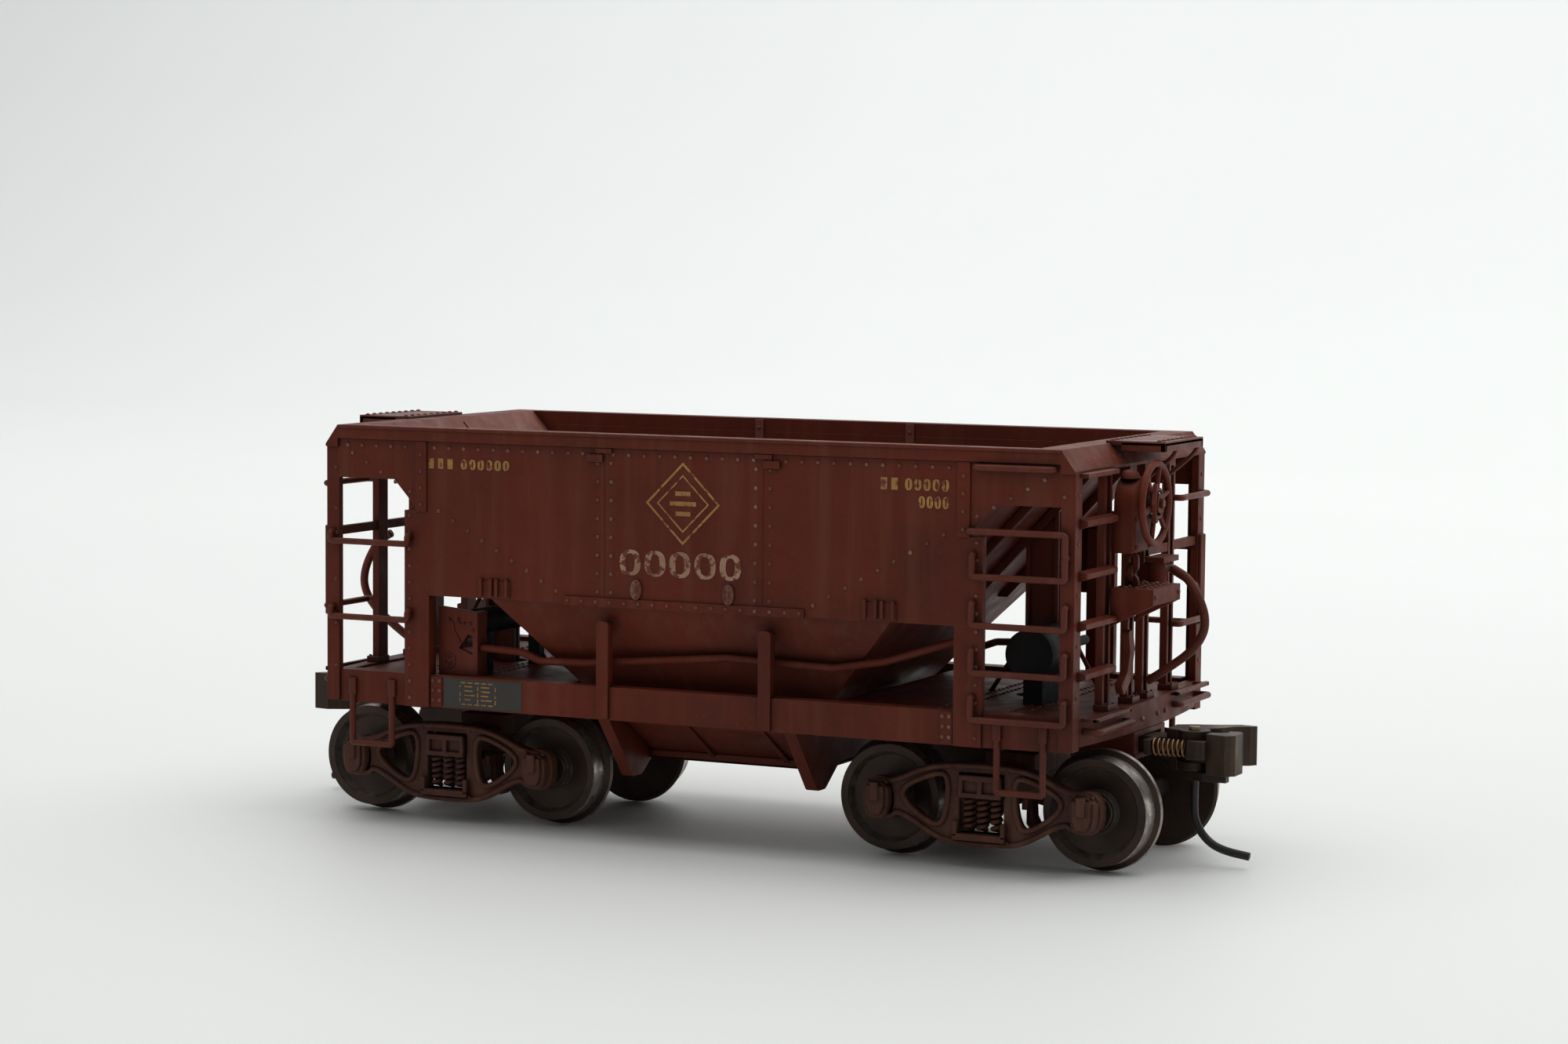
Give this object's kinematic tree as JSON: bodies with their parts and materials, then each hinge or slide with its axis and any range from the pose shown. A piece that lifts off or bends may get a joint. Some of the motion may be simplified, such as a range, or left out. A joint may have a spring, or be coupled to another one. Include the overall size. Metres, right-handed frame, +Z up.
{
  "type": "model hopper car",
  "caption": "Short open-top model ore hopper car with sloped-end hopper, post-and-sill side frame, swivelling two-axle trucks, hand brake and knuckle couplers.",
  "frame": {"origin": "under the middle of the car, at the lowest point of the wheel flanges", "axes": "+X along the car towards the end with the brake wheel, +Y across the car, +Z up"},
  "size_m": [0.0962, 0.0354, 0.0378],
  "materials": {
    "body_plastic": "matt oxide red-brown paint over moulded plastic, lightly weathered",
    "detail_plastic": "matt oxide red-brown paint over fine moulded details",
    "truck_plastic": "matt dark brown, weathered",
    "black_plastic": "matt black-brown",
    "wheel_metal": "turned metal, faces weathered dark brown, tread and flange bright",
    "axle_steel": "turned, blackened",
    "coupler_metal": "cast metal, rust-brown wash",
    "rivet_brass": "dulled brass",
    "spring_bronze": "bronze wire, dulled",
    "trip_wire": "blackened steel wire",
    "screw_steel": "plain steel screw",
    "weight_steel": "plain steel plate"
  },
  "bodies": {
    "car_body": {"air_pipes": "body_plastic", "brake_chain": "body_plastic", "brake_cylinder": "black_plastic", "brake_housing": "body_plastic", "brake_lever": "body_plastic", "brake_reservoir": "black_plastic", "brake_step": "body_plastic", "bulkhead_posts": "body_plastic", "centre_sills": "body_plastic", "corner_posts": "body_plastic", "door_hangers": "body_plastic", "draft_box_a": "body_plastic", "draft_box_b": "body_plastic", "draft_lid_a": "body_plastic", "draft_lid_b": "body_plastic", "end_decks": "body_plastic", "end_grab_irons": "detail_plastic", "end_ladders": "body_plastic", "end_pipes": "body_plastic", "end_platforms": "detail_plastic", "end_sills": "body_plastic", "end_stanchions_a": "body_plastic", "end_stanchions_b": "body_plastic", "hopper_doors": "body_plastic", "hopper_shell": "body_plastic", "retainer_valve": "body_plastic", "rigging_plate": "body_plastic", "side_grab_irons": "detail_plastic", "side_sills": "body_plastic", "side_stakes": "body_plastic", "sill_steps": "body_plastic", "steel_weight": "weight_steel", "top_rim": "body_plastic", "truck_screw_a": "screw_steel", "truck_screw_b": "screw_steel"},
    "truck_a": {"truck_frame_a": "truck_plastic", "truck_springs_a": "truck_plastic"},
    "wheelset_a_outer": {"wheels_a_outer": "wheel_metal", "axle_a_outer": "axle_steel"},
    "wheelset_a_inner": {"wheels_a_inner": "wheel_metal", "axle_a_inner": "axle_steel"},
    "coupler_a": {"coupler_head_a": "coupler_metal", "knuckle_rivet_a": "rivet_brass", "knuckle_spring_a": "spring_bronze"},
    "knuckle_a_body": {"knuckle_a": "coupler_metal", "trip_pin_a": "trip_wire"},
    "truck_b": {"truck_frame_b": "truck_plastic", "truck_springs_b": "truck_plastic"},
    "wheelset_b_outer": {"wheels_b_outer": "wheel_metal", "axle_b_outer": "axle_steel"},
    "wheelset_b_inner": {"wheels_b_inner": "wheel_metal", "axle_b_inner": "axle_steel"},
    "coupler_b": {"coupler_head_b": "coupler_metal", "knuckle_rivet_b": "rivet_brass", "knuckle_spring_b": "spring_bronze"},
    "knuckle_b_body": {"knuckle_b": "coupler_metal", "trip_pin_b": "trip_wire"},
    "brake_wheel": {"brake_wheel": "body_plastic"}
  },
  "joints": [
    {"name": "truck_b_swivel", "type": "hinge", "parent": "car_body", "child": "truck_b", "pos_m": [0.02703, 0, 0.0095], "axis": [0, 0, 1], "range_deg": [-10, 10]},
    {"name": "axle_b_outer_spin", "type": "hinge", "parent": "truck_b", "child": "wheelset_b_outer", "pos_m": [0.03673, 0, 0.00545], "axis": [0, 1, 0], "continuous": true},
    {"name": "axle_b_inner_spin", "type": "hinge", "parent": "truck_b", "child": "wheelset_b_inner", "pos_m": [0.01733, 0, 0.00545], "axis": [0, 1, 0], "continuous": true},
    {"name": "coupler_b_swing", "type": "hinge", "parent": "car_body", "child": "coupler_b", "pos_m": [0.0348, 0, 0.01065], "axis": [0, 0, 1], "range_deg": [-8, 8], "stiffness_Nm_per_rad": 0.00002},
    {"name": "knuckle_b_open", "type": "hinge", "parent": "coupler_b", "child": "knuckle_b_body", "pos_m": [0.0428, -0.0012, 0.01015], "axis": [0, 0, -1], "range_deg": [0, 22], "stiffness_Nm_per_rad": 0.00002, "deforming": ["knuckle_spring_b"]},
    {"name": "truck_a_swivel", "type": "hinge", "parent": "car_body", "child": "truck_a", "pos_m": [-0.02703, 0, 0.0095], "axis": [0, 0, 1], "range_deg": [-10, 10]},
    {"name": "axle_a_outer_spin", "type": "hinge", "parent": "truck_a", "child": "wheelset_a_outer", "pos_m": [-0.03673, 0, 0.00545], "axis": [0, 1, 0], "continuous": true},
    {"name": "axle_a_inner_spin", "type": "hinge", "parent": "truck_a", "child": "wheelset_a_inner", "pos_m": [-0.01733, 0, 0.00545], "axis": [0, 1, 0], "continuous": true},
    {"name": "coupler_a_swing", "type": "hinge", "parent": "car_body", "child": "coupler_a", "pos_m": [-0.0348, 0, 0.01065], "axis": [0, 0, 1], "range_deg": [-8, 8], "stiffness_Nm_per_rad": 0.00002},
    {"name": "knuckle_a_open", "type": "hinge", "parent": "coupler_a", "child": "knuckle_a_body", "pos_m": [-0.0428, 0.0012, 0.01015], "axis": [0, 0, -1], "range_deg": [0, 22], "stiffness_Nm_per_rad": 0.00002, "deforming": ["knuckle_spring_a"]},
    {"name": "brake_wheel_turn", "type": "hinge", "parent": "car_body", "child": "brake_wheel", "pos_m": [0.0402, -0.0052, 0.0323], "axis": [1, 0, 0], "continuous": true}
  ]
}
